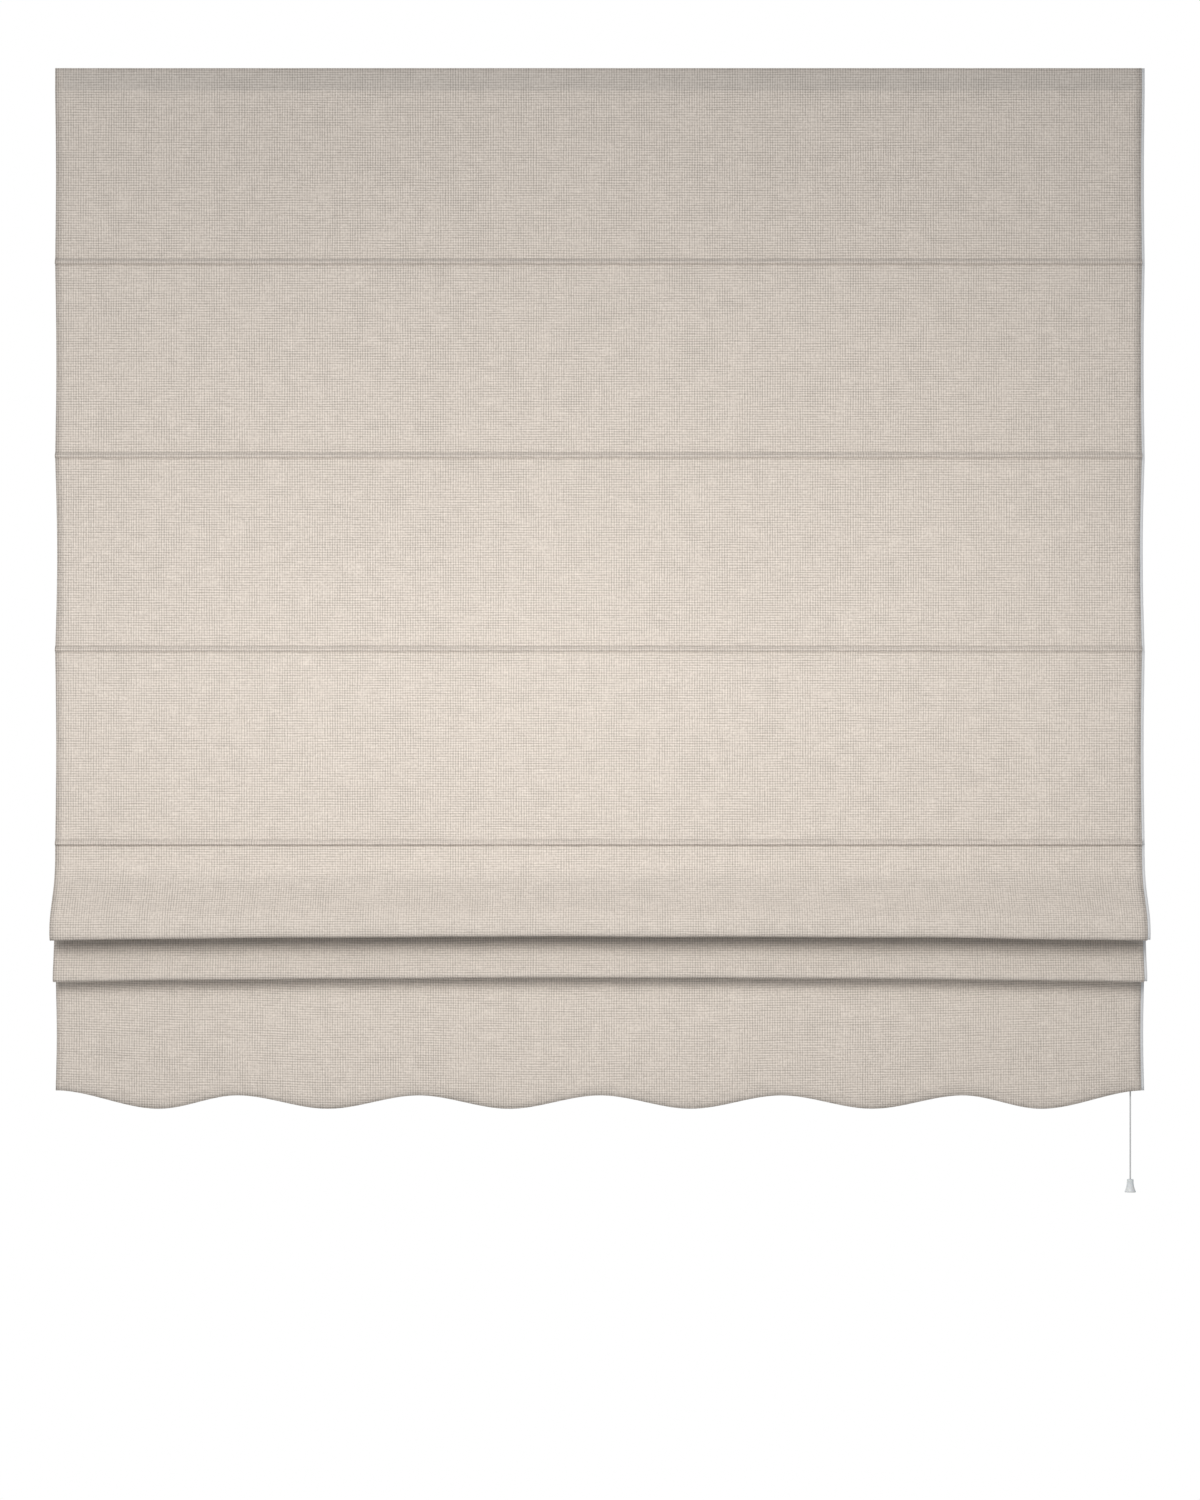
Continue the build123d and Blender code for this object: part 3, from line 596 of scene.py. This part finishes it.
def scallop_drop(x):
    """Drop of the flap's edge at x: six lows with five crests between, rising to both corners."""
    step = 2 * half_width / scallops
    lows = [-half_width + step * (i + 0.5) for i in range(scallops)]
    lows[0] += 15 * MM
    lows[-1] -= 15 * MM
    marks = [(-half_width, corner_drop), (lows[0], low_drop)]
    for left, right in zip(lows[:-1], lows[1:]):
        crest = -half_width + step * len(marks) / 2
        marks += [(crest, crest_drop), (right, low_drop)]
    marks.append((half_width, corner_drop))
    for (x0, d0), (x1, d1) in zip(marks[:-1], marks[1:]):
        if x <= x1 + 1e-9:
            t = min(max((x - x0) / (x1 - x0), 0.0), 1.0)
            return d0 + (d1 - d0) * t * t * (3 - 2 * t)
    return corner_drop


def drape_lower(x, y, z):
    """The lower fold rises a little mid-width; the flap ripples and ends in its scallops."""
    drop = (cloth_top - z) / MM
    reach = (cloth_mid - y) / MM
    side = x / half_width
    turn = np.clip((drop - stack_tuck - 60) / 60, 0, 1) ** 2 * np.clip(reach / 8, 0, 1)
    z = z + turn * (middle_rise * (1 - side**2) + 0.8 * MM * swell(x, np.zeros_like(x), 0.15, 21.0))
    y = y - turn * 0.8 * MM * swell(x, z, 0.18, 23.0)
    hanging = (reach < flap_reach + 0.4) & (drop > lower_fold_low)
    loose = np.where(hanging, np.clip((drop - lower_fold_low) / 100, 0, 1), 0.0)
    y = y - loose * 1.2 * MM * (swell(x, z, 0.17, 27.0) + 0.5)
    edge = np.array([scallop_drop(value) for value in x[0]])
    start, end = lower_fold_low, scallop_start
    stretch = start + (drop - start) * (edge[None, :] - start) / (end - start)
    z = np.where(hanging, cloth_top - stretch * MM, z)
    down = np.clip((drop - start) / (end - start), 0, 1)
    draw_in = 1.2 * MM * np.where(hanging, np.sin(math.pi * down), 0.0)
    return x - draw_in * side * np.abs(side) ** 5, y, z


def lower_cloth():
    """The cloth that rises with the stack."""
    fine = columns_between(linen_left, linen_right, 5 * MM)
    line = to_line(lower_line_points, 6 * MM)
    shells = [cloth_shell(spread(line, fine, drape_lower))] + side_strips(line, drape_lower)
    shells += tuck_shells(rods[4], columns, False)
    seam_drop = tunnel_top + 18.5
    seam = to_line([(tunnel_front, seam_drop), (flap_reach, seam_drop)], 1.5 * MM)
    shells.append(cloth_shell(spread(seam, columns, None)))
    for reach, out in ((tunnel_front + 0.3, -1), (flap_reach - 0.3, 1)):
        y = cloth_mid - reach * MM
        row = [(x, y, cloth_top - seam_drop * MM) for x in (-half_width + 3 * MM, half_width - 6 * MM)]
        shells.append(stitches(row, (0, out, 0)))
    # A narrow facing is turned up behind the scallops and sewn along its top.
    off_flap = np.abs(line[:, 1] - (cloth_top - lower_fold_low * MM)) + 10 * np.abs(line[:, 0] - flap_mid)
    grid = spread(line[int(np.argmin(off_flap)):], fine, drape_lower)
    facing = [np.stack([part[-1]] * 4) for part in grid]
    facing[2] = np.stack([grid[2][-1] + up * MM for up in (12, 8, 4, 0)])
    facing[1] = np.stack([np.interp(facing[2][:, j], grid[2][::-1, j], grid[1][::-1, j])
                          for j in range(len(fine))], axis=1)
    shells.append(cloth_shell(facing, -layer_pitch))
    shells.append(stitches(surface(facing, cloth_thick / 2)[0], (0, -1, 0)))
    return make_piece("lower_cloth", "lower_stack", shells, cloth_materials)


upper = upper_cloth()
fold_front, fold_back = upper_fold()
lower = lower_cloth()
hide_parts("upper_fabric")
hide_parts("upper_fold_fabric")
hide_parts("lower_fabric")


# ---- Thread loops that hold the rings on ----
def ring_ties(name, body, rows):
    """Four turns of thread round each ring and through the cloth."""
    turns, turn_pitch, thread = 4, 0.75 * MM, 0.22 * MM
    shells = []
    ring_middles = [middle(f"guide_roller_{i}").x - cord_wrap for i in range(1, 5)]
    for row in rows:
        low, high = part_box(f"rings_{row}")
        wire = (high[2] - low[2]) / 2
        for x in ring_middles:
            for k in range(turns):
                across = x + (k - (turns - 1) / 2) * turn_pitch
                centre = Vector((across, low[1] + wire, (low[2] + high[2]) / 2))
                shells.append(ring_loop(centre, wire + 0.45 * MM, thread))
    return make_piece(name, body, shells, [sewing_thread, sewing_thread])


ring_ties("upper_ring_ties", "root", (1, 2, 3, 4))
ring_ties("lower_ring_ties", "lower_stack", (5, 6))


# ---- Lift cords ----
def lift_cords():
    """Each cord: up from its orb, over its roller, along the rail, over the lock, to the joiner."""
    guides = [middle(f"guide_roller_{i}") for i in range(1, 5)]
    lock = middle("lock_roller")
    # Each cord lies 1.6 mm above the last where they meet, so all run at this slope to the lock.
    slope = math.atan(1.6 * MM / (guides[1].x - guides[0].x))
    orb_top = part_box("cord_orbs")[1][2]
    joiner_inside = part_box("joiner_top")[1][2] - 3.3 * MM
    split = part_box("headrail")[0][2] - 3 * MM
    y = guides[0].y
    for number, guide in enumerate(guides, start=1):
        line_x = guide.x - cord_wrap
        height = guide.z + cord_wrap / math.cos(slope) + (lock.x - guide.x) * math.tan(slope)
        lock_wrap = (height - lock.z) * math.cos(slope)
        out_x = lock.x + lock_wrap
        route = [(line_x, y, split)]
        route += [(guide.x - cord_wrap * math.cos(a), y, guide.z + cord_wrap * math.sin(a))
                  for a in np.linspace(0, math.pi / 2 - slope, 9)]
        route += [(lock.x + lock_wrap * math.sin(a), y, lock.z + lock_wrap * math.cos(a))
                  for a in np.linspace(-slope, math.pi / 2, 10)]
        route.append((out_x, y, split))
        run = make_piece(f"rail_cord_{number}", "root",
                         [tube(route, lift_cord_radius)], [cord_braid])
        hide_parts(f"lift_cord_{number}")
        for name, body, x, low in ((f"hanging_cord_{number}", "lower_stack", line_x, orb_top - 3 * MM),
                                   (f"pulled_cord_{number}", "pull", out_x, joiner_inside)):
            heights = np.linspace(split, low, 30)
            piece = make_piece(name, None, [tube([(x, y, z) for z in heights], lift_cord_radius)],
                               [cord_braid])
            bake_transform(piece)


lift_cords()


# ---- Pull cord ----
def pull_cord():
    """The single cord from the joiner down to the knot in the bell."""
    x, y, _ = middle("joiner_bottom")
    low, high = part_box("pull_cord")
    curve = bpy.data.curves.new("pull_cord_braid", "CURVE")
    curve.dimensions = "3D"
    curve.bevel_depth = pull_cord_radius
    curve.bevel_resolution = 3
    curve.use_fill_caps = True
    curve.resolution_u = 6
    line = curve.splines.new("NURBS")
    heights = np.linspace(high[2], low[2], 6)
    line.points.add(len(heights) - 1)
    for point, z in zip(line.points, heights):
        point.co = (x, y, float(z), 1)
    line.order_u = 3
    line.use_endpoint_u = True
    curve.materials.append(cord_braid)
    cord = bpy.data.objects.new("pull_cord_braid", curve)
    bpy.context.scene.collection.objects.link(cord)
    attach(cord, "pull")
    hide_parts("pull_cord")


pull_cord()


# ---- Floor, light and camera ----
def stage():
    """A plain pale floor well below the blind, soft light from above in front and behind."""
    floor_mesh = bpy.data.meshes.new("floor")
    corners = [(x, y, floor_z) for x, y in ((-2.2, -2.0), (2.2, -2.0), (2.2, 1.8), (-2.2, 1.8))]
    floor_mesh.from_pydata(corners, [], [[0, 1, 2, 3]])
    floor_mesh.materials.append(grained("matt_pale_floor", "#EDEDEC", "#F4F4F3", (0.3, 0.3, 0.3), 0.1 * MM,
                                        0.5, Roughness=0.9))
    floor = bpy.data.objects.new("floor", floor_mesh)
    bpy.context.scene.collection.objects.link(floor)

    scene = bpy.context.scene
    scene.view_settings.view_transform = "Standard"
    world = bpy.data.worlds.new("white_room")
    world.use_nodes = True
    scene.world = world
    tree = world.node_tree
    seen = add(tree, "ShaderNodeLightPath", {})
    strength = add(tree, "ShaderNodeMapRange", {
        "Value": seen.outputs["Is Camera Ray"], "To Min": 0.44, "To Max": 1.0})
    tree.links.new(strength.outputs[0], tree.nodes["Background"].inputs["Strength"])
    tree.nodes["Background"].inputs["Color"].default_value = (1, 1, 1, 1)

    # Each light: name, place, what it points at, width and height in metres, watts and colour.
    for name, place, target, width, height, power, colour in (
        ("above_front", (-0.9, -4.3, 2.0), (0.0, 0.0, -0.8), 2.0, 1.4, 83.0, (1.0, 0.985, 0.965)),
        ("fold_fill", (-0.1, -0.9, -0.70), (-0.1, 0.0, -0.97), 1.7, 0.3, 7.0, (1.0, 0.955, 0.90)),
        ("window_side", (-0.05, 0.55, -0.68), (-0.05, 0.0, -0.68), 1.3, 0.45, 6.6, (0.88, 0.94, 1.0)),
    ):
        lamp = bpy.data.lights.new(name, "AREA")
        lamp.shape = "RECTANGLE"
        lamp.size, lamp.size_y = width, height
        lamp.energy = power
        lamp.color = colour
        light = bpy.data.objects.new(name, lamp)
        light.visible_camera = False
        light.location = place
        light.rotation_euler = (Vector(target) - Vector(place)).to_track_quat("-Z", "Y").to_euler()
        scene.collection.objects.link(light)

    lens = bpy.data.cameras.new("camera")
    lens.lens = 86.5
    lens.clip_end = 50
    camera = bpy.data.objects.new("camera", lens)
    camera.location = (0, cloth_mid - 4.3, cloth_top - 0.8135)
    camera.rotation_euler = (math.pi / 2, 0, 0)
    scene.collection.objects.link(camera)
    scene.camera = camera


stage()
